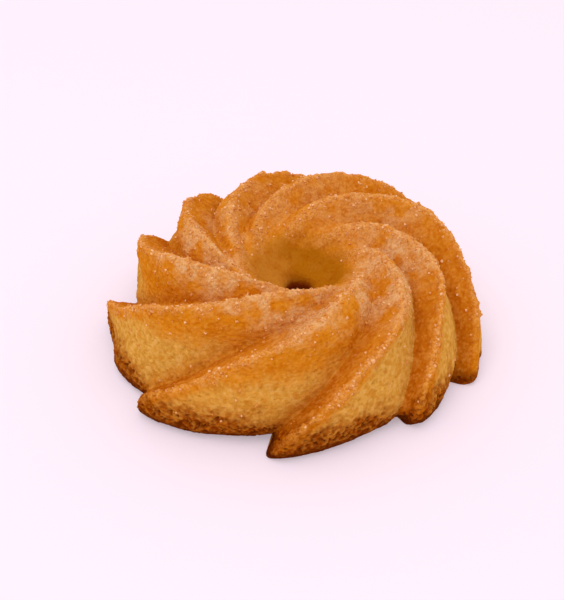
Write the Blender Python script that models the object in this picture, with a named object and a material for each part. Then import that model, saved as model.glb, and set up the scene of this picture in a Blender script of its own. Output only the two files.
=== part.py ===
"""A small lemon pound cake, baked as a ring of nine swirled blades.

Metres, +Z up. The cake stands on the plane z = 0 with its crests up, and its
outer size is centred on the origin. It is one solid: a ring whose skin is
shaped by two section curves, one that runs along the crest of a blade and one
that runs along the valley between two blades. Both start at the outer edge of
the base, climb over the crown and go down the funnel to the narrow centre
hole. A twist winds them round the axis on the way, which gives the swirl.
"""

import math

import bmesh
import bpy
import numpy as np

MM = 0.001

# ---------------------------------------------------------------- dimensions
BLADES = 9
RIM_RADIUS = 50.0 * MM  # tip of a blade at the base
CROWN_HEIGHT = 30.0 * MM  # highest run of the crests
HOLE_RADIUS = 3.3 * MM  # narrow straight part of the centre hole
HOLE_TOP = 14.5 * MM  # where the funnel has narrowed to the hole
EDGE_ROUND = 1.8 * MM  # rounding of the bottom edge

# Section curves. Each station is a place along the way from the outer base
# edge (0) over the crown to the throat of the funnel (1).
STATION = (0.0, 0.12, 0.27, 0.44, 0.60, 0.76, 0.90, 1.0)
CREST_R = (1.0, 0.988, 0.922, 0.848, 0.734, 0.500, 0.350, 0.215)  # of RIM_RADIUS
CREST_Z = (0.0, 0.26, 0.537, 0.757, 0.93, 1.0, 0.88, 0.66)  # of CROWN_HEIGHT
VALLEY_R = (0.884, 0.890, 0.806, 0.690, 0.556, 0.414, 0.300, 0.205)
VALLEY_Z = (0.0, 0.15, 0.403, 0.62, 0.757, 0.80, 0.74, 0.63)
TWIST_DEG = (0.0, 4.8, 16.2, 27.3, 46.5, 73.5, 104.0, 129.0)

# A valley lies close behind the steep face of the next blade: this is how far
# round it lies from that blade's crest, along the same stations.
VALLEY_GAP_DEG = (0.8, 3.6, 4.6, 3.0, 3.6, 6.5, 9.4, 11.0)
FACE_BULGE = 1.12  # over 1 makes the broad faces of the blades convex
TIP_BULGE = 0.35  # how much more convex they are at the base

# Hand-filled tins don't bake evenly, so each blade differs a little.
BLADE_AT_DEG = (180, 220, 264, 299, 336, 382, 421, 462, 500)
TIP_LEAN_DEG = (-10, -3, -4, 6.0, -4, 3, 0, 0, -3)  # tip turned along the rim
TIP_REACH = (0.4, -0.5, -0.9, 0.6, -1.0, -0.3, -0.3, 0.2, 0.0)  # mm, outward
RIM_SCALE = (1.02, 1.02, 0.98, 0.94, 0.975, 1.02, 1.02, 0.97, 1.01)
HEIGHT_SCALE = (1.04, 0.96, 0.93, 0.96, 1.04, 1.02, 1.00, 1.01, 1.05)
NOTCH_SHIFT = (2.6, -5.0, -3.1, -2.4, 3.0, 0.0, 0.0, 4.2, -2.0)  # mm, outward
NOTCH_TURN_DEG = (0.0, 0.6, 0.6, 0.0, 0.0, 0.0, 0.0, 0.0, 0.0)  # along the rim
LEAN_REACH = 0.45  # tip lean and notch shift fade out by this station

# Places where the dough swelled or sank while it baked: angle in degrees,
# radius, height and reach of the place in mm, then how far out and up it went.
SWELLS = (
    (190, 49.5, 6, 7.0, -1.6, 0.0),
    (200, 50, 1, 6.0, 0.9, 0.0),
    (185, 47, 14, 6.0, 0.8, 1.9),
    (176, 43, 16, 6.0, -1.8, 0.0),
    (152, 43, 14, 5.0, 0.0, 1.5),
    (144, 44, 11, 6.0, 0.3, 2.6),
    (252, 43, 0, 7.0, 0.5, 0.0),
    (281, 43, 1, 9.0, -0.8, 0.0),
    (306, 46, 0, 4.0, -0.8, 0.0),
    (12, 38.5, 26, 9.0, 0.6, 0.0),
    (121, 32, 29, 7.0, 0.0, -0.8),
    (272, 18.5, 28.2, 5.0, 0.0, -0.9),
    (128, 36.5, 20.5, 5.5, 0.0, 1.0),
    (141, 28.5, 23.5, 6.0, 0.0, 2.0),
    (160, 19.5, 25.5, 5.0, 0.0, 0.8),
)

# Mesh density of the ring.
BROAD_COLUMNS = 11
STEEP_COLUMNS = 5
RINGS = 30
SKIN_RINGS = 21  # rings from the base edge to the throat
HOLE_RINGS = 4


# ---------------------------------------------------------------- curves
def smooth_curve(knots, values, at):
    """Natural cubic spline through (knots, values), read at the points at."""
    x = np.asarray(knots, float)
    y = np.asarray(values, float)
    step = np.diff(x)
    count = len(x)
    matrix = np.eye(count)
    right = np.zeros(count)
    for i in range(1, count - 1):
        matrix[i, i - 1] = step[i - 1]
        matrix[i, i] = 2.0 * (step[i - 1] + step[i])
        matrix[i, i + 1] = step[i]
        right[i] = 6.0 * ((y[i + 1] - y[i]) / step[i] - (y[i] - y[i - 1]) / step[i - 1])
    bend = np.linalg.solve(matrix, right)
    at = np.asarray(at, float)
    i = np.clip(np.searchsorted(x, at, side="right") - 1, 0, count - 2)
    h = step[i]
    a = (x[i + 1] - at) / h
    b = (at - x[i]) / h
    return (
        a * y[i]
        + b * y[i + 1]
        + ((a**3 - a) * bend[i] + (b**3 - b) * bend[i + 1]) * h * h / 6.0
    )


def skin(blade, side, across, station):
    """A point of the skin as (radius, angle, height).

    blade is the blade whose crest lies before the point, counter-clockwise
    from above. side 0 is its broad face, across runs from the crest (0) to
    the valley (1). side 1 is the steep face of the next blade, from the
    valley (0) up to the next crest (1).
    """
    twist = math.radians(float(smooth_curve(STATION, TWIST_DEG, station)))
    crest_r = RIM_RADIUS * float(smooth_curve(STATION, CREST_R, station))
    crest_z = CROWN_HEIGHT * float(smooth_curve(STATION, CREST_Z, station))
    valley_r = RIM_RADIUS * float(smooth_curve(STATION, VALLEY_R, station))
    valley_z = CROWN_HEIGHT * float(smooth_curve(STATION, VALLEY_Z, station))
    gap = math.radians(float(np.interp(station, STATION, VALLEY_GAP_DEG)))
    near_tip = max(0.0, 1.0 - station / LEAN_REACH) ** 2
    outer = min(1.0, max(0.0, (crest_r / MM - 20.0) / 30.0))

    def crest(index):
        i = index % BLADES
        turn = 2.0 * math.pi * (index // BLADES)
        angle = math.radians(BLADE_AT_DEG[i] + near_tip * TIP_LEAN_DEG[i]) + turn + twist
        radius = crest_r * (1.0 + (RIM_SCALE[i] - 1.0) * outer)
        radius += TIP_REACH[i] * MM * near_tip
        return radius, angle, crest_z * HEIGHT_SCALE[i]

    here = crest(blade)
    after = crest(blade + 1)
    rise = 0.5 * (HEIGHT_SCALE[blade] + HEIGHT_SCALE[(blade + 1) % BLADES])
    valley = (
        valley_r + NOTCH_SHIFT[blade] * MM * near_tip,
        after[1] - gap + math.radians(NOTCH_TURN_DEG[blade] * near_tip),
        valley_z * rise,
    )
    if side == 0:
        drop = across ** (FACE_BULGE + TIP_BULGE * near_tip)
        return (
            here[0] + (valley[0] - here[0]) * drop,
            here[1] + (valley[1] - here[1]) * across,
            here[2] + (valley[2] - here[2]) * drop,
        )
    return tuple(v + (a - v) * across for v, a in zip(valley, after))


def swell(radius, angle, height):
    """Moves a point of the skin by the swells it lies in."""
    grow, rise = 0.0, 0.0
    for at_deg, at_r, at_z, reach, outward, upward in SWELLS:
        at_r, at_z, reach = at_r * MM, at_z * MM, reach * MM
        turned = math.remainder(angle - math.radians(at_deg), 2.0 * math.pi)
        away = (turned * at_r) ** 2 + (radius - at_r) ** 2 + (height - at_z) ** 2
        share = math.exp(-away / reach**2)
        grow += outward * MM * share
        rise += upward * MM * share
    return radius + grow, angle, height + rise * min(1.0, height / (4.0 * MM))


def ring_point(column, ring):
    """Where the vertex of this column and ring of the torus goes, in metres."""
    per_blade = BROAD_COLUMNS + STEEP_COLUMNS
    blade, place = divmod(column, per_blade)
    if place < BROAD_COLUMNS:
        side, across = 0, place / BROAD_COLUMNS
    else:
        side, across = 1, (place - BROAD_COLUMNS) / STEEP_COLUMNS

    if ring < SKIN_RINGS:  # from the rounded bottom edge to the throat
        station = ring / (SKIN_RINGS - 1)
        radius, angle, height = swell(*skin(blade, side, across, station))
        tuck = max(0.0, 1.0 - height / EDGE_ROUND)
        radius -= EDGE_ROUND * 0.6 * tuck**2
    elif ring < SKIN_RINGS + HOLE_RINGS:  # throat, hole wall, hole edge
        way = (ring - SKIN_RINGS + 1) / HOLE_RINGS
        throat_r, angle, throat_z = swell(*skin(blade, side, across, 1.0))
        down = min(1.0, way * 2.0)
        radius = throat_r + (HOLE_RADIUS - throat_r) * down
        height = throat_z + (HOLE_TOP - throat_z) * down
        if way > 0.5:
            height = HOLE_TOP * (1.0 - way) * 2.0
    else:  # flat underside, back out to the bottom edge
        way = (ring - SKIN_RINGS - HOLE_RINGS + 1) / (RINGS - SKIN_RINGS - HOLE_RINGS + 1)
        edge_r, edge_angle, _ = swell(*skin(blade, side, across, 0.0))
        edge_r -= EDGE_ROUND * 0.6
        _, angle, _ = skin(blade, side, across, 1.0)
        even_r = 0.88 * RIM_RADIUS  # the rings are round at the hole and lobed at the edge
        radius = HOLE_RADIUS + (even_r + (edge_r - even_r) * way * way - HOLE_RADIUS) * way
        angle += (edge_angle - angle) * (1.0 - (1.0 - way) ** 3)  # unwinds near the hole
        height = 0.0
    return radius * math.cos(angle), radius * math.sin(angle), height


# ---------------------------------------------------------------- the scene
for old in list(bpy.data.objects):
    bpy.data.objects.remove(old, do_unlink=True)

parts = bpy.data.collections.new("lemon_pound_cake")
bpy.context.scene.collection.children.link(parts)

columns = BLADES * (BROAD_COLUMNS + STEEP_COLUMNS)
bpy.ops.mesh.primitive_torus_add(
    major_segments=columns,
    minor_segments=RINGS,
    major_radius=30.0 * MM,
    minor_radius=15.0 * MM,
)
cake = bpy.context.object
cake.name = "cake"
cake.data.name = "cake"
for home in list(cake.users_collection):
    home.objects.unlink(cake)
parts.objects.link(cake)

# The torus lists its vertices column by column, each column once round its
# section from the outside, over the top and through the hole.
for index, vertex in enumerate(cake.data.vertices):
    column, ring = divmod(index, RINGS)
    vertex.co = ring_point(column, ring)

# The outer size is centred on the axis of the frame, and the base is at z = 0.
spread = np.array([tuple(vertex.co) for vertex in cake.data.vertices])
middle = 0.5 * (spread.min(axis=0) + spread.max(axis=0))
for vertex in cake.data.vertices:
    vertex.co.x -= middle[0]
    vertex.co.y -= middle[1]

shape = bmesh.new()
shape.from_mesh(cake.data)
bmesh.ops.recalc_face_normals(shape, faces=shape.faces)
shape.to_mesh(cake.data)
shape.free()
cake.data.update()
cake.data.shade_smooth()
cake.data.set_sharp_from_angle(angle=math.radians(50.0))

crust = bpy.data.materials.new("crust")
crust.use_nodes = True
surface = crust.node_tree.nodes["Principled BSDF"]
surface.inputs["Base Color"].default_value = (0.66, 0.30, 0.065, 1.0)
surface.inputs["Roughness"].default_value = 0.72
surface.inputs["Metallic"].default_value = 0.0
cake.data.materials.clear()
cake.data.materials.append(crust)
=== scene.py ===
"""The looks of a small lemon pound cake, a ring of nine swirled blades.

The construction's section curves are followed at a fine pitch, so that the
crust's unevenness, crumb, pits and torn edges are real relief in the mesh.
Sugar grains are a second piece, sunk into the crust. Lengths inside the shape
code are in millimetres; the meshes are in metres.
"""

import math

import bpy
import numpy as np
from mathutils import Matrix, Vector


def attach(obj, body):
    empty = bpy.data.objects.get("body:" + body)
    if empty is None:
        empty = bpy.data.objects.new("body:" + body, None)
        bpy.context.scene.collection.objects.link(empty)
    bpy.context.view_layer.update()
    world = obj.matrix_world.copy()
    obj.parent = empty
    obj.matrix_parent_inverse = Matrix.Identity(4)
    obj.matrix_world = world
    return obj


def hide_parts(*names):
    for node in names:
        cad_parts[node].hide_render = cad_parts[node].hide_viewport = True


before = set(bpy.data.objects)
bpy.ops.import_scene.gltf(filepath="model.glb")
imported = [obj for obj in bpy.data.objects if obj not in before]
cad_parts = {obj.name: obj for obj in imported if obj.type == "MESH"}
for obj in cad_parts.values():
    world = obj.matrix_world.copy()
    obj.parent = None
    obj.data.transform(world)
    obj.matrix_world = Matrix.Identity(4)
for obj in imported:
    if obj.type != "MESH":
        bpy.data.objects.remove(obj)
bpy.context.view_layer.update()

MM = 0.001

# ---------------------------------------------------------------- the cake's form
BLADES = 9
RIM_RADIUS = 50.0
CROWN_HEIGHT = 30.0
HOLE_RADIUS = 3.3
HOLE_TOP = 14.8
EDGE_ROUND = 2.4
HOLE_AT = (1.71, -0.03)  # where the axis of the hole stands in the part's frame

STATION = (0.0, 0.12, 0.27, 0.44, 0.60, 0.76, 0.90, 1.0)
CREST_R = (1.0, 0.988, 0.922, 0.848, 0.734, 0.500, 0.350, 0.215)
CREST_Z = (0.0, 0.26, 0.537, 0.757, 0.93, 1.0, 0.88, 0.66)
VALLEY_R = (0.884, 0.890, 0.806, 0.690, 0.556, 0.414, 0.300, 0.205)
VALLEY_Z = (0.0, 0.15, 0.403, 0.62, 0.757, 0.80, 0.74, 0.63)
TWIST_DEG = (0.0, 4.8, 16.2, 27.3, 46.5, 73.5, 104.0, 129.0)
VALLEY_GAP_DEG = (0.8, 3.6, 4.6, 3.0, 3.6, 6.5, 9.4, 11.0)
FACE_BULGE = 1.12
TIP_BULGE = 0.35

BLADE_AT_DEG = (180, 220, 264, 299, 336, 382, 421, 462, 500)
TIP_LEAN_DEG = (-10, -3, -4, 6.0, -4, 3, 0, 0, -3)
TIP_REACH = (1.0, 0.1, 0.1, 1.2, -0.4, 0.3, 0.3, 0.8, 0.6)
RIM_SCALE = (1.02, 1.02, 0.98, 0.94, 0.975, 1.02, 1.02, 0.97, 1.01)
HEIGHT_SCALE = (1.04, 0.96, 0.93, 0.96, 1.04, 1.02, 1.00, 1.01, 1.05)
NOTCH_SHIFT = (2.6, -5.0, -3.1, -2.4, 3.0, 0.0, 0.0, 4.2, -2.0)
NOTCH_TURN_DEG = (0.0, 2.1, 1.9, 0.0, 0.0, 0.0, 0.0, 0.0, 0.0)
LEAN_REACH = 0.45

# How far crests and valleys are rounded, in mm, along the stations.
ROUNDING = (2.6, 2.0, 1.5, 1.5, 1.8, 2.2, 2.6, 3.3)

# Places where the baked cake swelled or sank: angle, radius, height, reach, and
# how far out and up the skin lies there, in degrees and mm.
SWELLS = (
    (190, 49.5, 6, 7.0, -1.6, 0.0),
    (200, 50, 1, 6.0, 0.9, 0.0),
    (187, 47, 15, 6.0, 1.1, 2.2),
    (170, 44, 12.5, 5.0, -1.7, 0.0),
    (177, 43, 16, 5.0, -1.6, 0.0),
    (173, 41.5, 23, 4.0, 0.9, -0.7),
    (178, 44, 9, 5.0, 0.0, 1.8),
    (154, 42.5, 16, 4.5, 0.0, 1.6),
    (147, 43.5, 13, 5.0, 0.3, 2.6),
    (222, 50, 6, 5.0, 0.9, 0.8),
    (236, 49, 2, 9.0, -0.3, 0.0),
    (247, 46.5, 2, 5.0, -0.6, 0.0),
    (252, 43, 0, 7.0, 0.4, 0.0),
    (262, 46, 2, 4.0, -0.2, 0.0),
    (275, 47, 2, 7.0, -0.5, 0.0),
    (281, 43, 1, 9.0, -0.8, 0.0),
    (292, 45, 3, 8.0, -1.0, 0.0),
    (306, 46, 0, 3.5, -1.9, 0.0),
    (319, 46.5, 5, 5.0, -0.3, 0.0),
    (333, 47.5, 0, 4.0, 0.8, 0.0),
    (345, 47.5, 9, 8.0, -0.4, 0.0),
    (12, 38.5, 26, 8.0, 0.2, 0.0),
    (30, 38, 27, 8.0, 0.5, 0.3),
    (50, 41, 25, 8.0, 0.4, 0.3),
    (127, 39, 21, 5.0, 0.0, 0.8),
    (121, 32, 29, 7.0, 0.0, -0.8),
    (154, 35, 27.5, 6.0, -0.5, 0.0),
    (272, 18.5, 28.2, 5.0, 0.0, -0.9),
    (128, 36.5, 20.5, 5.5, 0.0, 1.0),
    (141, 28.5, 23.5, 6.0, 0.0, 2.0),
    (160, 19.5, 25.5, 5.0, 0.0, 0.8),
)

# The paler, thinner crust of each blade's broad face: how high it reaches, in mm,
# how pale it is, and how much of it is left beside the valley. GLAZE_SIDE_DEG is the side of the
# crown on which the sugar melted to a light glaze. FOOT_HEIGHT stretches the
# toasted, crumbly zone at the foot of each blade, and TIP_TOAST is how far it
# climbs the tip. CREST_SUGAR_AND_HIGHLIGHT is how light each crest is made, partly for its sugar
# and partly as a painted highlight.
PALE_TOP = (20, 18.5, 25, 25, 21, 18, 18, 18, 18)
PALE_SHARE = (1.0, 0.8, 0.95, 0.95, 0.9, 0.85, 0.85, 0.85, 0.85)
PALE_BESIDE_VALLEY = (0.3, 0.5, 1.0, 1.0, 0.6, 0.35, 0.35, 0.35, 0.35)
FOOT_HEIGHT = (1.08, 1.15, 1.15, 1.00, 0.45, 0.80, 0.80, 0.90, 1.00)
TIP_TOAST = (0.7, 0.4, 0.8, 0.8, 0.1, 0.5, 0.5, 0.7, 0.8)
CREST_SUGAR_AND_HIGHLIGHT = (1.0, 1.0, 1.0, 1.0, 0.9, 0.75, 0.45, 0.45, 0.85)
GLAZE_SIDE_DEG = 270

# Pitch of the fine mesh.
BROAD_COLUMNS = 100
STEEP_COLUMNS = 32
SKIN_RINGS = 320
THROAT_RINGS = 46
WALL_RINGS = 16
UNDER_RINGS = 18


def smooth_curve(knots, values, at):
    """Natural cubic spline through (knots, values), read at the points at."""
    x = np.asarray(knots, float)
    y = np.asarray(values, float)
    step = np.diff(x)
    count = len(x)
    matrix = np.eye(count)
    right = np.zeros(count)
    for i in range(1, count - 1):
        matrix[i, i - 1] = step[i - 1]
        matrix[i, i] = 2.0 * (step[i - 1] + step[i])
        matrix[i, i + 1] = step[i]
        right[i] = 6.0 * ((y[i + 1] - y[i]) / step[i] - (y[i] - y[i - 1]) / step[i - 1])
    bend = np.linalg.solve(matrix, right)
    at = np.asarray(at, float)
    i = np.clip(np.searchsorted(x, at, side="right") - 1, 0, count - 2)
    h = step[i]
    a = (x[i + 1] - at) / h
    b = (at - x[i]) / h
    return (
        a * y[i]
        + b * y[i + 1]
        + ((a**3 - a) * bend[i] + (b**3 - b) * bend[i + 1]) * h * h / 6.0
    )


def smoothstep(low, high, x):
    t = np.clip((x - low) / (high - low), 0.0, 1.0)
    return t * t * (3.0 - 2.0 * t)


# ---------------------------------------------------------------- noise
def scramble(ix, iy, iz, seed):
    """A hash of whole-number lattice points, from 0 to 1."""
    h = (
        ix.astype(np.uint32) * np.uint32(0x8DA6B343)
        ^ iy.astype(np.uint32) * np.uint32(0xD8163841)
        ^ iz.astype(np.uint32) * np.uint32(0xCB1AB31F)
        ^ np.uint32((seed * 0x9E3779B1) & 0xFFFFFFFF)
    )
    h ^= h >> np.uint32(15)
    h *= np.uint32(0x2C1B3C6D)
    h ^= h >> np.uint32(12)
    h *= np.uint32(0x297A2D39)
    h ^= h >> np.uint32(15)
    return h.astype(np.float32) * np.float32(1.0 / 4294967296.0)


def waves(points, pitch, seed):
    """Smooth noise from about -1 to 1 whose bumps are pitch across."""
    p = (points / pitch).astype(np.float32)
    cell = np.floor(p).astype(np.int64)
    f = p - cell
    w = f * f * f * (f * (f * 6.0 - 15.0) + 10.0)
    total = np.zeros(len(p), np.float32)
    for corner in range(8):
        cx, cy, cz = corner & 1, (corner >> 1) & 1, corner >> 2
        ix, iy, iz = cell[:, 0] + cx, cell[:, 1] + cy, cell[:, 2] + cz
        turn = scramble(ix, iy, iz, seed) * np.float32(2.0 * math.pi)
        up = scramble(ix, iy, iz, seed + 77) * 2.0 - 1.0
        flat = np.sqrt(np.maximum(0.0, 1.0 - up * up))
        dot = (
            flat * np.cos(turn) * (f[:, 0] - cx)
            + flat * np.sin(turn) * (f[:, 1] - cy)
            + up * (f[:, 2] - cz)
        )
        share = (
            (w[:, 0] if cx else 1.0 - w[:, 0])
            * (w[:, 1] if cy else 1.0 - w[:, 1])
            * (w[:, 2] if cz else 1.0 - w[:, 2])
        )
        total += share * dot
    return total * 1.6


def grains(points, pitch, seed):
    """(distance to the nearest scattered point in pitches, a hash of that point)."""
    p = (points / pitch).astype(np.float32)
    cell = np.floor(p).astype(np.int64)
    nearest = np.full(len(p), 9.0, np.float32)
    label = np.zeros(len(p), np.float32)
    for dx in (-1, 0, 1):
        for dy in (-1, 0, 1):
            for dz in (-1, 0, 1):
                ix, iy, iz = cell[:, 0] + dx, cell[:, 1] + dy, cell[:, 2] + dz
                hx = scramble(ix, iy, iz, seed)
                gap = (
                    (ix + hx - p[:, 0]) ** 2
                    + (iy + scramble(ix, iy, iz, seed + 11) - p[:, 1]) ** 2
                    + (iz + scramble(ix, iy, iz, seed + 23) - p[:, 2]) ** 2
                ).astype(np.float32)
                closer = gap < nearest
                nearest[closer] = gap[closer]
                label[closer] = hx[closer]
    return np.sqrt(nearest), label


def dome(distance, reach):
    """A rounded bump, 1 over a scattered point and 0 from reach pitches on."""
    return np.sqrt(np.clip(1.0 - (distance / reach) ** 2, 0.0, 1.0))


# ---------------------------------------------------------------- the fine form
per_blade = BROAD_COLUMNS + STEEP_COLUMNS
columns = BLADES * per_blade
HOLE_RINGS = THROAT_RINGS + WALL_RINGS
rings = SKIN_RINGS + HOLE_RINGS + UNDER_RINGS


def skin_grid(station):
    """Radius, angle and height in mm of the skin at these stations, one row a column."""
    twist = np.radians(smooth_curve(STATION, TWIST_DEG, station))
    crest_r = RIM_RADIUS * smooth_curve(STATION, CREST_R, station)
    crest_z = CROWN_HEIGHT * smooth_curve(STATION, CREST_Z, station)
    valley_r = RIM_RADIUS * smooth_curve(STATION, VALLEY_R, station)
    valley_z = CROWN_HEIGHT * smooth_curve(STATION, VALLEY_Z, station)
    gap = np.radians(smooth_curve(STATION, VALLEY_GAP_DEG, station))
    near_tip = np.clip(1.0 - station / LEAN_REACH, 0.0, 1.0) ** 2
    outer = np.clip((crest_r - 20.0) / 30.0, 0.0, 1.0)

    def crest(index):
        i = index % BLADES
        turn = 2.0 * math.pi * (index // BLADES)
        angle = np.radians(BLADE_AT_DEG[i] + near_tip * TIP_LEAN_DEG[i]) + turn + twist
        radius = crest_r * (1.0 + (RIM_SCALE[i] - 1.0) * outer) + TIP_REACH[i] * near_tip
        return radius, angle, crest_z * HEIGHT_SCALE[i]

    rows = []
    for blade in range(BLADES):
        here, after = crest(blade), crest(blade + 1)
        rise = 0.5 * (HEIGHT_SCALE[blade] + HEIGHT_SCALE[(blade + 1) % BLADES])
        turn = np.radians(NOTCH_TURN_DEG[blade] * near_tip)
        valley = (
            valley_r + NOTCH_SHIFT[blade] * near_tip,
            after[1] - gap + turn,
            valley_z * rise,
        )
        bulge = FACE_BULGE + TIP_BULGE * near_tip
        for place in range(BROAD_COLUMNS):
            across = place / BROAD_COLUMNS
            drop = across**bulge
            rows.append((
                here[0] + (valley[0] - here[0]) * drop,
                here[1] + (valley[1] - here[1]) * across,
                here[2] + (valley[2] - here[2]) * drop,
            ))
        for place in range(STEEP_COLUMNS):
            across = place / STEEP_COLUMNS
            rows.append(tuple(v + (a - v) * across for v, a in zip(valley, after)))
    return np.array(rows)  # (columns, radius angle height, stations)


def ring_steps(radius, angle, height):
    """Length in mm of each step from a column to the next."""
    x, y = radius * np.cos(angle), radius * np.sin(angle)
    return np.sqrt(sum((np.roll(v, -1, axis=0) - v) ** 2 for v in (x, y, height)))


def blur_round(values, step, sigma, passes=4):
    """Blurs (columns, rings, k) values along each ring by about sigma mm.

    Each pass solves one step of heat flow on the uneven pitch of the columns,
    a closed chain of three-term equations, for all rings at once.
    """
    after = np.maximum(step, 0.01)
    before = np.roll(after, 1, axis=0)
    spread = sigma**2 / (2.0 * passes) * 2.0 / (before + after)
    low, top = -spread / before, -spread / after
    mid = 1.0 - low - top
    count = len(mid)
    gamma = -mid[0]
    mid = mid.copy()
    mid[0] -= gamma
    mid[-1] -= low[0] * top[-1] / gamma
    for _ in range(passes):
        right = np.concatenate([values, np.zeros(values.shape[:2] + (1,))], -1)
        right[0, :, -1], right[-1, :, -1] = gamma, top[-1]
        ratio = np.empty_like(mid)
        ratio[0] = top[0] / mid[0]
        right[0] /= mid[0][:, None]
        for i in range(1, count):
            share = 1.0 / (mid[i] - low[i] * ratio[i - 1])
            ratio[i] = top[i] * share
            right[i] = (right[i] - low[i][:, None] * right[i - 1]) * share[:, None]
        for i in range(count - 2, -1, -1):
            right[i] -= ratio[i][:, None] * right[i + 1]
        closing = low[0] / gamma
        dot = right[0] + closing[:, None] * right[-1]
        values = right[..., :-1] - right[..., -1:] * (dot[:, :-1] / (1.0 + dot[:, -1:]))[None]
    return values


def normals_of(points):
    round_ = np.roll(points, -1, axis=0) - np.roll(points, 1, axis=0)
    along = np.roll(points, -1, axis=1) - np.roll(points, 1, axis=1)
    n = np.cross(round_, along)
    return n / np.maximum(np.linalg.norm(n, axis=-1, keepdims=True), 1e-9)


station = np.linspace(0.0, 1.0, SKIN_RINGS)
radius, angle, height = skin_grid(station).transpose(1, 0, 2)

# Distances from the nearest crest and valley, measured along each ring.
step = ring_steps(radius, angle, height)
crest_far = np.zeros((columns, rings))  # mm, positive on broad faces, negative on steep
valley_far = np.zeros((columns, rings))
for blade in range(BLADES):
    first = blade * per_blade
    broad = step[first : first + BROAD_COLUMNS]
    steep = step[first + BROAD_COLUMNS : first + per_blade]
    along_broad = np.cumsum(broad, 0) - broad
    along_steep = np.cumsum(steep, 0) - steep
    crest_far[first : first + BROAD_COLUMNS, :SKIN_RINGS] = along_broad
    valley_far[first : first + BROAD_COLUMNS, :SKIN_RINGS] = broad.sum(0) - along_broad
    crest_far[first + BROAD_COLUMNS : first + per_blade, :SKIN_RINGS] = along_steep - steep.sum(0)
    valley_far[first + BROAD_COLUMNS : first + per_blade, :SKIN_RINGS] = along_steep

# Rounded crests and valleys. Blurring what the first blur took off, and putting
# it back, keeps the crests as high as they are while their edge goes soft.
even = (2.0 * math.pi / columns * np.arange(columns))[:, None]
sigma = smooth_curve(STATION, ROUNDING, station)
sharp = np.stack([radius, angle - even, height], -1)
soft = blur_round(sharp, step, sigma)
soft = soft + blur_round(sharp - soft, step, sigma)
radius, angle, height = soft[..., 0], soft[..., 1] + even, np.maximum(soft[..., 2], 0.0)
radius = radius - EDGE_ROUND * 0.5 * np.clip(1.0 - height / EDGE_ROUND, 0.0, 1.0) ** 2
for at_deg, at_r, at_z, reach, outward, upward in SWELLS:
    turned = (angle - math.radians(at_deg) + math.pi) % (2.0 * math.pi) - math.pi
    away = (turned * at_r) ** 2 + (radius - at_r) ** 2 + (height - at_z) ** 2
    share = np.exp(-away / reach**2)
    radius = radius + outward * share
    height = height + upward * share * smoothstep(0.0, 4.0, height)

# The throat bends from the funnel's slope into the straight wall of the hole.
throat_r, throat_a, throat_z = (v[:, -1:] for v in (radius, angle, height))
slope_r, slope_z = (v[:, -1:] - v[:, -2:-1] for v in (radius, height))
reach = 0.55 * (throat_r - HOLE_RADIUS) / np.maximum(-slope_r, 1e-6)
way = np.arange(1, THROAT_RINGS + 1)[None] / THROAT_RINGS
a, b, c, d = (1 - way) ** 3, 3 * way * (1 - way) ** 2, 3 * way**2 * (1 - way), way**3
hole_r = a * throat_r + b * (throat_r + slope_r * reach) + (c + d) * HOLE_RADIUS
hole_z = (
    a * throat_z + b * (throat_z + slope_z * reach) + c * (HOLE_TOP + 2.0) + d * (HOLE_TOP - 2.5)
)
way = np.arange(1, WALL_RINGS + 1)[None] / WALL_RINGS
wall_r = np.full((columns, WALL_RINGS), HOLE_RADIUS)
wall_z = np.repeat((HOLE_TOP - 2.5) * (1.0 - way), columns, 0)

way = np.arange(1, UNDER_RINGS + 1)[None] / (UNDER_RINGS + 1)
even_r = 0.88 * RIM_RADIUS
under_r = HOLE_RADIUS + (even_r + (radius[:, :1] - even_r) * way * way - HOLE_RADIUS) * way
under_a = throat_a + (angle[:, :1] - throat_a) * (1.0 - (1.0 - way) ** 3)

radius = np.concatenate([radius, hole_r, wall_r, under_r], 1)
angle = np.concatenate([angle, np.repeat(throat_a, HOLE_RINGS, 1), under_a], 1)
height = np.concatenate([height, hole_z, wall_z, np.zeros_like(under_r)], 1)
form = np.stack([radius * np.cos(angle), radius * np.sin(angle), height], -1)
normal = normals_of(form)

flat = form.reshape(-1, 3)
up = form[..., 2].ravel()
out = np.hypot(flat[:, 0], flat[:, 1])
crest_at = crest_far.ravel()
valley_at = valley_far.ravel()
broad_side = np.tile(
    np.repeat(np.r_[np.ones(BROAD_COLUMNS), np.zeros(STEEP_COLUMNS)], rings), BLADES
)
ring_at = np.tile(np.arange(rings), columns)
on_skin = ring_at < SKIN_RINGS
pale_top = np.repeat(np.array(PALE_TOP, float), per_blade * rings)
# A steep face belongs to the crest above it, which is the next blade's.
tip_of = np.concatenate([
    np.repeat((blade, blade + 1), (BROAD_COLUMNS, STEEP_COLUMNS)) % BLADES for blade in range(BLADES)
]).repeat(rings)
foot_height = np.array(FOOT_HEIGHT)[tip_of]
tip_toast = np.array(TIP_TOAST)[tip_of]
pale_share = np.repeat(np.array(PALE_SHARE), per_blade * rings)
pale_beside = np.repeat(np.array(PALE_BESIDE_VALLEY), per_blade * rings)
in_throat = (ring_at >= SKIN_RINGS) & (ring_at < SKIN_RINGS + THROAT_RINGS)
in_hole = (ring_at >= SKIN_RINGS + THROAT_RINGS) & (ring_at < SKIN_RINGS + HOLE_RINGS)
on_under = ring_at >= SKIN_RINGS + HOLE_RINGS
station_at = np.clip(ring_at / (SKIN_RINGS - 1), 0.0, 1.0)

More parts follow.
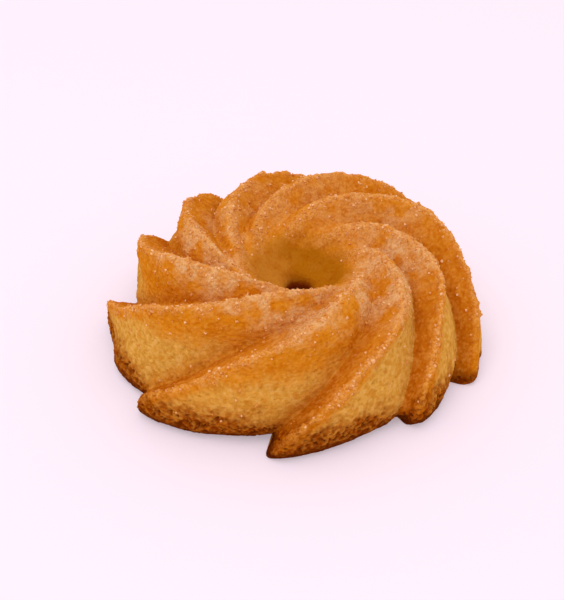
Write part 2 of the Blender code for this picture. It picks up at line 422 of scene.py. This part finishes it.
# ---------------------------------------------------------------- relief
wide = waves(flat, 9.0, 1)
middle = waves(flat, 4.2, 2)
lump = waves(flat, 2.4, 8)
small = waves(flat, 1.6, 3)
fine = waves(flat, 0.75, 4)
bent = flat + 0.3 * np.stack([waves(flat, 2.1, 31), waves(flat, 2.1, 32), waves(flat, 2.1, 33)], -1)
bead, bead_id = grains(bent, 0.8, 5)
crumb, crumb_id = grains(bent, 1.7, 6)
tear = 0.65 * waves(bent, 1.5, 9) + 0.55 * waves(bent, 0.8, 10)
pock, pock_id = grains(bent, 1.0, 12)

outer = 1.0 - smoothstep(0.35, 0.5, station_at)
off_crest = np.abs(crest_at)
foot_height *= 0.6 + 0.4 * smoothstep(1.0, 5.0 + 8.0 * broad_side, valley_at)
crumbly = up / foot_height + 1.8 * middle + 0.9 * small
toasted_tip = tip_toast * np.exp(-((crest_at / 5.0) ** 2)) * (1.0 - smoothstep(6.0, 12.0, crumbly))
base = np.maximum(1.0 - smoothstep(5.5, 12.0, crumbly), toasted_tip) * outer * on_skin
brown = np.maximum(1.0 - smoothstep(3.6, 9.5, crumbly), 0.7 * toasted_tip) * outer * on_skin
# The lowest band of the foot: a brown bake, darkened further as painted shade under the rounded edge.
rim = (1.0 - smoothstep(1.4, 4.4, up + 0.5 * small + 0.6 * middle)) * outer * on_skin
rim *= 0.4 + 0.6 * smoothstep(0.0, 0.4, tip_toast)
crest_width = np.where(broad_side > 0.5, 2.4, 1.4) * (1.0 + 0.7 * lump)
ridge = np.exp(-((crest_at / crest_width) ** 2)) * on_skin
ridge *= (1.0 - smoothstep(0.86, 1.0, station_at)) * (0.25 + 0.75 * smoothstep(3.0, 12.0, up))
# The crests are lighter, partly for the sugar on them and partly as a painted highlight along each crest, in the
# funnel too.
crest_sugar_and_highlight = ridge * np.array(CREST_SUGAR_AND_HIGHLIGHT)[tip_of]
in_funnel = smoothstep(0.66, 0.78, station_at) * (1.0 - smoothstep(0.93, 1.0, station_at + 0.02 * middle))
crest_sugar_and_highlight = np.maximum(crest_sugar_and_highlight, 0.85 * np.exp(-(((crest_at - 0.8) / (3.0 + 0.8 * lump)) ** 2)) * in_funnel)
gritty = (0.6 * (dome(bead, 0.8) - 0.6) * (0.6 + 0.8 * bead_id) + 0.35 * fine + 0.25 * small)
pocked = smoothstep(0.15, 0.75, dome(pock, 0.50)) * (pock_id > 0.62)
pocked *= (0.4 + 0.6 * base) * (0.4 + 0.6 * bead_id)
torn = np.maximum(smoothstep(0.16, 0.40, tear) * brown, pocked)

relief = 0.34 * wide + 0.24 * middle + 0.14 * lump
relief += (0.22 + 0.16 * ridge + 0.16 * base) * (1.0 - 0.5 * rim) * gritty
relief += ridge * (0.38 * lump + 0.26 * small + 0.26 * (dome(crumb, 0.8) - 0.5))
relief += (0.20 * base + 0.36 * brown) * (1.0 - 0.85 * rim) * (dome(crumb, 0.8) - 0.5)
relief -= (0.08 + (0.22 * base + 0.40 * brown) * (1.0 - 0.85 * rim)) * torn
relief *= 1.0 - 0.6 * smoothstep(0.76, 0.90, station_at)
relief = np.where(on_under, 0.0, relief)

# Nothing reaches below the plane that the cake stands on.
foot = smoothstep(0.0, 1.2, up)
moved = flat + normal.reshape(-1, 3) * (relief * (0.3 + 0.7 * foot))[:, None]
moved[:, 2] = np.where(on_under, 0.0, np.maximum(moved[:, 2], 0.0))
dimple = np.clip(0.20 * (dome(crumb, 0.8) - 0.2) + 0.30 * torn, 0.0, 0.6)
edge_way = np.clip((ring_at - SKIN_RINGS - HOLE_RINGS + 1) / (UNDER_RINGS + 1), 0.0, 1.0)
moved[:, 2] += np.where(on_under, dimple * np.sin(math.pi * edge_way) ** 0.5, 0.0)

# ---------------------------------------------------------------- where each tone lies
steep_fade = 1.0 - smoothstep(0.70, 0.90, station_at)
on_wall = (1.0 - broad_side) * steep_fade * smoothstep(0.3, 1.8, off_crest)
low = (1.0 - smoothstep(5.0, 21.0, up + 1.5 * middle)) * (1.0 - smoothstep(0.6, 0.8, station_at))
pale = (
    broad_side
    * pale_share
    * (1.0 - smoothstep(-3.2, 3.2, up - pale_top + 2.2 * middle + 1.0 * small))
    * smoothstep(2.0, 6.0, off_crest + 1.6 * lump)
    * (pale_beside + (1.0 - pale_beside) * smoothstep(1.0, 6.0, valley_at + 1.2 * lump))
    * on_skin
    * (1.0 - smoothstep(0.60, 0.78, station_at))
)
deep = smoothstep(0.905, 1.02, station_at + 0.025 * middle) * (1.0 - on_under)
deep = np.where(in_throat | in_hole, 1.0, deep)
glaze = (
    smoothstep(0.53, 0.69, station_at)
    * (1.0 - smoothstep(0.86, 0.97, station_at))
    * smoothstep(-0.5, 0.2, waves(flat, 6.0, 21) + 0.4 * lump)
)
side_turn = np.cos(np.arctan2(flat[:, 1], flat[:, 0]) - math.radians(GLAZE_SIDE_DEG))
glaze *= 0.30 + 0.70 * smoothstep(-0.9, 0.2, side_turn + 0.4 * wide)
turned = np.arctan2(flat[:, 1], flat[:, 0]) - math.radians(200.0)
funnel_light = deep * smoothstep(-0.4, 0.9, np.cos(turned) + 0.5 * middle + 0.2 * lump)
# Painted shade: a narrow band along each valley is darkened, for the shade that falls in the crease between two
# blades.
valley_painted_shade = np.exp(-((valley_at / 3.2) ** 2)) * on_skin * (1.0 - smoothstep(0.5, 0.8, station_at))
valley_painted_shade *= 1.0 - 0.9 * broad_side * pale_beside * smoothstep(0.3, 1.2, valley_at)
# Painted shade: below its top, the wall of the hole is coloured dark brown for the shade inside the hole.
hole_painted_shade = 1.0 - smoothstep(HOLE_RADIUS, HOLE_RADIUS + 1.2, out + 0.3 * lump)
hole_painted_shade *= 1.0 - smoothstep(HOLE_TOP - 2.4, HOLE_TOP - 0.2, up + 0.6 * small)


def add_mesh(name, points, faces):
    """A mesh of equal-sided faces, given in mm."""
    mesh = bpy.data.meshes.new(name)
    mesh.vertices.add(len(points))
    mesh.vertices.foreach_set("co", (points * MM).astype(np.float32).ravel())
    mesh.loops.add(faces.size)
    mesh.loops.foreach_set("vertex_index", faces.astype(np.int32).ravel())
    mesh.polygons.add(len(faces))
    mesh.polygons.foreach_set(
        "loop_start", np.arange(0, faces.size, faces.shape[1], dtype=np.int32)
    )
    mesh.polygons.foreach_set("use_smooth", np.ones(len(faces), bool))
    mesh.update(calc_edges=True)
    made = bpy.data.objects.new(name, mesh)
    bpy.context.scene.collection.objects.link(made)
    return made


def add_value(thing, name, values):
    layer = thing.data.attributes.new(name, "FLOAT", "POINT")
    layer.data.foreach_set("value", np.asarray(values, np.float32))


c = np.arange(columns)[:, None]
r = np.arange(rings)[None]
here = c * rings + r
after = ((c + 1) % columns) * rings + r
above = c * rings + (r + 1) % rings
both = ((c + 1) % columns) * rings + (r + 1) % rings
quads = np.stack([here, after, both, above], -1).reshape(-1, 4)

moved[:, 0] += HOLE_AT[0]
moved[:, 1] += HOLE_AT[1]
cake = add_mesh("cake_crust", moved, quads)
for name, values in (
    ("wall", on_wall), ("low", low), ("pale", pale), ("deep", deep), ("glaze", glaze),
    ("base", base), ("rim", rim), ("ridge", crest_sugar_and_highlight), ("grit", gritty), ("torn", torn),
    ("under", on_under), ("hole_painted_shade", hole_painted_shade), ("brown", brown), ("valley", valley_painted_shade),
    ("funnel_light", funnel_light), ("open_pale", pale * (1.0 - base)),
):
    add_value(cake, name, values)

# A map for textures: one column of the grid is one column of it,
# and the rings are spread out by their mean length.
run = np.linalg.norm(np.roll(form, -1, axis=1) - form, axis=-1).mean(0)
v_at = np.r_[0.0, np.cumsum(np.maximum(run, 0.05))]
v_at = 0.001 + 0.998 * v_at / v_at[-1]
u_at = 0.001 + 0.998 * np.arange(columns + 1) / columns
u = np.stack([u_at[:-1], u_at[1:], u_at[1:], u_at[:-1]], -1)[:, None].repeat(rings, 1)
v = np.stack([v_at[:-1], v_at[:-1], v_at[1:], v_at[1:]], -1)[None].repeat(columns, 0)
layer = cake.data.uv_layers.new(name="OFBake")
layer.uv.foreach_set("vector", np.stack([u, v], -1).astype(np.float32).ravel())


# ---------------------------------------------------------------- sugar grains
rng = np.random.default_rng(41)
face_mid = moved[quads].mean(1)
side_a = moved[quads[:, 2]] - moved[quads[:, 0]]
side_b = moved[quads[:, 3]] - moved[quads[:, 1]]
face_area = 0.5 * np.linalg.norm(np.cross(side_a, side_b), axis=1)
first = quads[:, 0]
liking = (
    0.06
    + 2.6 * ridge[first] * smoothstep(8.0, 20.0, up[first])
    + 0.9 * glaze[first]
    + 0.25 * smoothstep(18.0, 26.0, up[first])
) * (on_skin[first] & (up[first] > 7.0)) * (1.0 - 0.85 * deep[first])
liking = liking * face_area
GRAINS = 2500
chosen = rng.choice(len(quads), GRAINS, replace=False, p=liking / liking.sum())
corner = np.array([[x, y, z] for x in (-1, 1) for y in (-1, 1) for z in (-1, 1)], float)
box_faces = np.array([
    [0, 1, 3, 2], [4, 6, 7, 5], [0, 4, 5, 1], [2, 3, 7, 6], [0, 2, 6, 4], [1, 5, 7, 3],
])
size = rng.uniform(0.16, 0.40, (GRAINS, 1, 1)) * rng.uniform(0.75, 1.25, (GRAINS, 1, 3)) * 0.5
shape = corner[None] * size * 1.5 * rng.uniform(0.78, 1.12, (GRAINS, 8, 1))
turn = rng.normal(size=(GRAINS, 4))
turn /= np.linalg.norm(turn, axis=1, keepdims=True)
w, x, y, z = turn.T
spin = np.stack([
    np.stack([1 - 2 * (y * y + z * z), 2 * (x * y - z * w), 2 * (x * z + y * w)], -1),
    np.stack([2 * (x * y + z * w), 1 - 2 * (x * x + z * z), 2 * (y * z - x * w)], -1),
    np.stack([2 * (x * z - y * w), 2 * (y * z + x * w), 1 - 2 * (x * x + y * y)], -1),
], 1)
face_out = normal.reshape(-1, 3)[first[chosen]]
seat = face_mid[chosen] + face_out * rng.uniform(-0.10, 0.03, (GRAINS, 1))
grain_points = np.einsum("nij,nkj->nki", spin, shape) + seat[:, None]
grain_faces = box_faces[None] + 8 * np.arange(GRAINS)[:, None, None]
sugar = add_mesh("sugar_grains", grain_points.reshape(-1, 3), grain_faces.reshape(-1, 4))
# A random glint value per grain, for the painted glints below.
add_value(sugar, "glint", rng.uniform(0.0, 1.0, GRAINS).repeat(8))
sugar.data.polygons.foreach_set("use_smooth", np.zeros(len(sugar.data.polygons), bool))


# ---------------------------------------------------------------- materials
def linear(red, green, blue):
    """A screen colour, 0 to 255, as linear light."""
    return tuple(
        (v / 255.0) / 12.92 if v <= 10 else ((v / 255.0 + 0.055) / 1.055) ** 2.4
        for v in (red, green, blue)
    ) + (1.0,)


class Nodes:
    """Short calls for building a material's node tree."""

    def __init__(self, material):
        material.use_nodes = True
        self.tree = material.node_tree
        self.shader = self.tree.nodes["Principled BSDF"]

    def put(self, socket, value):
        if isinstance(value, bpy.types.NodeSocket):
            self.tree.links.new(value, socket)
        else:
            socket.default_value = value

    def value(self, name):
        made = self.tree.nodes.new("ShaderNodeAttribute")
        made.attribute_name = name
        return made.outputs["Fac"]

    def place(self):
        return self.tree.nodes.new("ShaderNodeTexCoord").outputs["Object"]

    def noise(self, pitch_mm, detail=2.0, rough=0.5):
        made = self.tree.nodes.new("ShaderNodeTexNoise")
        self.put(made.inputs["Vector"], self.place())
        made.inputs["Scale"].default_value = 1000.0 / pitch_mm
        made.inputs["Detail"].default_value = detail
        made.inputs["Roughness"].default_value = rough
        return made.outputs["Fac"]

    def cells(self, pitch_mm):
        made = self.tree.nodes.new("ShaderNodeTexVoronoi")
        self.put(made.inputs["Vector"], self.place())
        made.inputs["Scale"].default_value = 1000.0 / pitch_mm
        return made.outputs["Distance"]

    def maths(self, kind, *values):
        made = self.tree.nodes.new("ShaderNodeMath")
        made.operation = kind
        for socket, value in zip(made.inputs, values):
            self.put(socket, value)
        return made.outputs[0]

    def scale(self, value, low, high, to_low=0.0, to_high=1.0):
        made = self.tree.nodes.new("ShaderNodeMapRange")
        made.interpolation_type = "SMOOTHSTEP"
        names = ("Value", "From Min", "From Max", "To Min", "To Max")
        for name, number in zip(names, (value, low, high, to_low, to_high)):
            self.put(made.inputs[name], number)
        return made.outputs[0]

    def mix(self, share, a, b, blend="MIX"):
        made = self.tree.nodes.new("ShaderNodeMix")
        made.data_type = "RGBA"
        made.blend_type = blend
        self.put(made.inputs[0], share)
        self.put(made.inputs[6], a)
        self.put(made.inputs[7], b)
        return made.outputs[2]


ORANGE_HIGH = linear(209, 126, 18)
ORANGE_LOW = linear(203, 119, 6)
WALL_HIGH = linear(200, 117, 20)
WALL_LOW = linear(188, 105, 6)
PALE = linear(211, 156, 66)
BASE_CRUMB = linear(158, 74, 3)
BASE_BROWN = linear(136, 58, 2)
BASE_PIT = linear(114, 46, 3)
RIM_BROWN_AND_SHADE = linear(84, 30, 2)
RIDGE = linear(226, 168, 108)
RIDGE_LOW = linear(220, 150, 62)
GLAZE = linear(229, 195, 149)
DEEP = linear(174, 106, 12)
DEEP_LIGHT = linear(208, 141, 54)
UNDER = linear(188, 108, 34)
HOLE_SHADE_BROWN = linear(136, 50, 8)

crust = bpy.data.materials.new("crust")
n = Nodes(crust)
grit = n.value("grit")
fleck = n.noise(0.55, 2.0, 0.6)
patch = n.noise(2.6, 3.0, 0.6)
mottle = n.noise(1.3, 2.0, 0.6)
tone = n.mix(n.value("low"), ORANGE_HIGH, ORANGE_LOW)
tone = n.mix(n.value("wall"), tone, n.mix(n.value("low"), WALL_HIGH, WALL_LOW))
tone = n.mix(n.value("pale"), tone, PALE)
tone = n.mix(n.value("deep"), tone, DEEP)
tone = n.mix(n.maths("MULTIPLY", n.value("funnel_light"), 0.5), tone, DEEP_LIGHT)
# Painted shade along the valleys.
tone = n.mix(n.value("valley"), tone, (0.86, 0.76, 0.66, 1.0), "MULTIPLY")
tone = n.mix(n.maths("MULTIPLY", n.value("base"), n.scale(mottle, 0.40, 0.62, 0.90, 0.45)), tone, BASE_CRUMB)
tone = n.mix(n.maths("MULTIPLY", n.value("brown"), n.scale(mottle, 0.40, 0.62, 0.90, 0.50)), tone, BASE_BROWN)
tone = n.mix(n.maths("MULTIPLY", n.value("glaze"), n.maths("MULTIPLY", n.scale(patch, 0.35, 0.65, 0.42, 0.78), n.scale(fleck, 0.36, 0.62, 0.40, 1.0))), tone, GLAZE)
# Crest lines: partly sugar, partly a painted highlight.
tone = n.mix(n.maths("MULTIPLY", n.value("ridge"), n.scale(fleck, 0.38, 0.62, 0.05, 0.75)), tone, n.mix(n.value("low"), RIDGE, RIDGE_LOW))
# The foot's lowest band: brown bake plus painted shade under the edge.
tone = n.mix(n.value("rim"), tone, RIM_BROWN_AND_SHADE)
tone = n.mix(n.value("under"), tone, UNDER)
# Painted shade inside the hole.
tone = n.mix(n.value("hole_painted_shade"), tone, HOLE_SHADE_BROWN)
# Blotches of deeper and lighter baking.
calm = n.maths("MULTIPLY", n.maths("SUBTRACT", 1.0, n.value("deep")), n.scale(n.value("base"), 0.0, 0.9, 1.0, 0.12))
tone = n.mix(n.scale(patch, 0.52, 0.38, 0.0, 0.65), tone, (0.93, 0.79, 0.50, 1.0), "MULTIPLY")
tone = n.mix(n.maths("MULTIPLY", n.scale(patch, 0.52, 0.66, 0.0, 0.20), calm), tone, linear(228, 160, 72))
# Painted shade in the hollows between the grains, and a painted highlight on their tops.
tone = n.mix(n.scale(grit, 0.0, -0.40, 0.0, 0.55), tone, (0.84, 0.72, 0.50, 1.0), "MULTIPLY")
tone = n.mix(n.maths("MULTIPLY", n.scale(grit, 0.02, 0.38, 0.0, 0.22), calm), tone, linear(236, 168, 78))
tone = n.mix(n.maths("MULTIPLY", n.scale(fleck, 0.54, 0.72, 0.0, 0.22), calm), tone, linear(236, 168, 78))
tone = n.mix(n.scale(fleck, 0.46, 0.28, 0.0, 0.32), tone, (0.86, 0.76, 0.54, 1.0), "MULTIPLY")
# The foot's crumbs also get a lighter orange on their tops, a painted highlight.
tone = n.mix(n.maths("MULTIPLY", n.scale(grit, 0.0, 0.40, 0.0, 0.50), n.maths("SUBTRACT", n.value("base"), n.value("rim"))), tone, linear(192, 110, 16))
# The pale crust is mottled at the size of its crumbs.
tone = n.mix(n.maths("MULTIPLY", n.value("open_pale"), n.scale(mottle, 0.50, 0.36, 0.0, 0.55)), tone, (0.88, 0.74, 0.46, 1.0), "MULTIPLY")
tone = n.mix(n.maths("MULTIPLY", n.value("open_pale"), n.scale(mottle, 0.52, 0.66, 0.0, 0.35)), tone, linear(232, 182, 104))
# Pits and pores are darker: painted shade in the relief's pits, and on the foot also the darker crumb there.
depth = n.maths("MULTIPLY_ADD", n.value("pale"), 0.25, n.scale(n.value("brown"), 0.0, 0.6, 0.35, 0.85))
pit = n.maths("MULTIPLY", n.value("torn"), depth)
tone = n.mix(pit, tone, n.mix(n.scale(n.value("base"), 0.0, 0.8), linear(178, 104, 22), BASE_PIT))
n.put(n.shader.inputs["Base Color"], tone)
n.put(n.shader.inputs["Roughness"], n.scale(fleck, 0.3, 0.7, 0.75, 0.5))
n.put(n.shader.inputs["Specular IOR Level"], n.maths("MULTIPLY", n.value("glaze"), 0.06))
n.shader.inputs["Subsurface Weight"].default_value = 0.10
n.shader.inputs["Subsurface Radius"].default_value = (1.0, 0.45, 0.12)
n.shader.inputs["Subsurface Scale"].default_value = 0.0009

# Grain and pinholes finer than the mesh.
fine_height = n.maths("MULTIPLY_ADD", n.noise(0.4, 3.0, 0.6), 0.7, n.maths("MULTIPLY", n.cells(0.55), -0.5))
bump = n.tree.nodes.new("ShaderNodeBump")
bump.inputs["Strength"].default_value = 0.7
bump.inputs["Distance"].default_value = 0.0002
n.put(bump.inputs["Height"], fine_height)
n.put(n.shader.inputs["Normal"], bump.outputs["Normal"])
cake.data.materials.append(crust)
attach(cake, "root")
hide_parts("cake")

crystal = bpy.data.materials.new("sugar")
g = Nodes(crystal)
shine = g.shader
# Painted glints: grains with a high glint value are coloured paler, standing in for the sparkle of sugar.
glint = g.scale(g.value("glint"), 0.4, 1.0)
g.put(shine.inputs["Base Color"], g.mix(glint, linear(216, 142, 68), linear(238, 186, 132)))
shine.inputs["Roughness"].default_value = 0.5
shine.inputs["Specular IOR Level"].default_value = 0.05
sugar.data.materials.append(crystal)
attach(sugar, "root")

# ---------------------------------------------------------------- floor, light, camera
bpy.ops.mesh.primitive_plane_add(size=3.0, location=(0.0, 0.0, -0.0002))
floor = bpy.context.object
floor.name = "floor"
glowing_paper = bpy.data.materials.new("glowing_paper")
glowing_paper.use_nodes = True
sheet = glowing_paper.node_tree.nodes["Principled BSDF"]
sheet.inputs["Base Color"].default_value = (0.64, 0.55, 0.61, 1.0)
# The floor glows a little: painted light that lifts the shadows around the cake's foot.
sheet.inputs["Emission Color"].default_value = (0.97, 0.86, 0.93, 1.0)
sheet.inputs["Emission Strength"].default_value = 0.33
sheet.inputs["Roughness"].default_value = 0.9
floor.data.materials.append(glowing_paper)

world = bpy.data.worlds.new("studio")
bpy.context.scene.world = world
world.use_nodes = True
sky = world.node_tree.nodes["Background"]
sky.inputs["Color"].default_value = (1.0, 0.95, 0.98, 1.0)
sky.inputs["Strength"].default_value = 0.96


def soft_light(name, place, aim, size, power, colour):
    lamp = bpy.data.lights.new(name, "AREA")
    lamp.shape = "DISK"
    lamp.size = size
    lamp.energy = power
    lamp.color = colour
    made = bpy.data.objects.new(name, lamp)
    made.location = place
    made.rotation_mode = "QUATERNION"
    made.rotation_quaternion = (Vector(aim) - Vector(place)).to_track_quat("-Z", "Y")
    bpy.context.scene.collection.objects.link(made)
    return made


soft_light("key", (-0.14, -0.16, 0.70), (0, 0, 0.01), 0.55, 1.3, (1.0, 0.97, 0.98))

# The camera looks down at the cake from the front, a little off its middle.
LOOK_DOWN = math.radians(36.7)
AWAY = 265.0
FOCAL_PX = 3.846 * AWAY
AIM_PX = (17.4, 14.6)  # where the aim point lies right of and above the picture's middle
aim = Vector((HOLE_AT[0], HOLE_AT[1], 15.0)) * MM
ahead = Vector((0.0, math.cos(LOOK_DOWN), -math.sin(LOOK_DOWN)))
lens = bpy.data.cameras.new("camera")
lens.sensor_width = 36.0
lens.lens = FOCAL_PX * 36.0 / 600.0
lens.clip_start, lens.clip_end = 0.01, 10.0
camera = bpy.data.objects.new("camera", lens)
look = ahead.to_track_quat("-Z", "Y").to_matrix()
off = Vector((AIM_PX[0], AIM_PX[1], -FOCAL_PX)).normalized()
turn = Vector((0.0, 0.0, -1.0)).rotation_difference(off).to_matrix()
camera.matrix_world = Matrix.Translation(aim - ahead * AWAY * MM) @ (look @ turn.inverted()).to_4x4()
bpy.context.scene.collection.objects.link(camera)
bpy.context.scene.camera = camera
bpy.context.scene.view_settings.view_transform = "Standard"
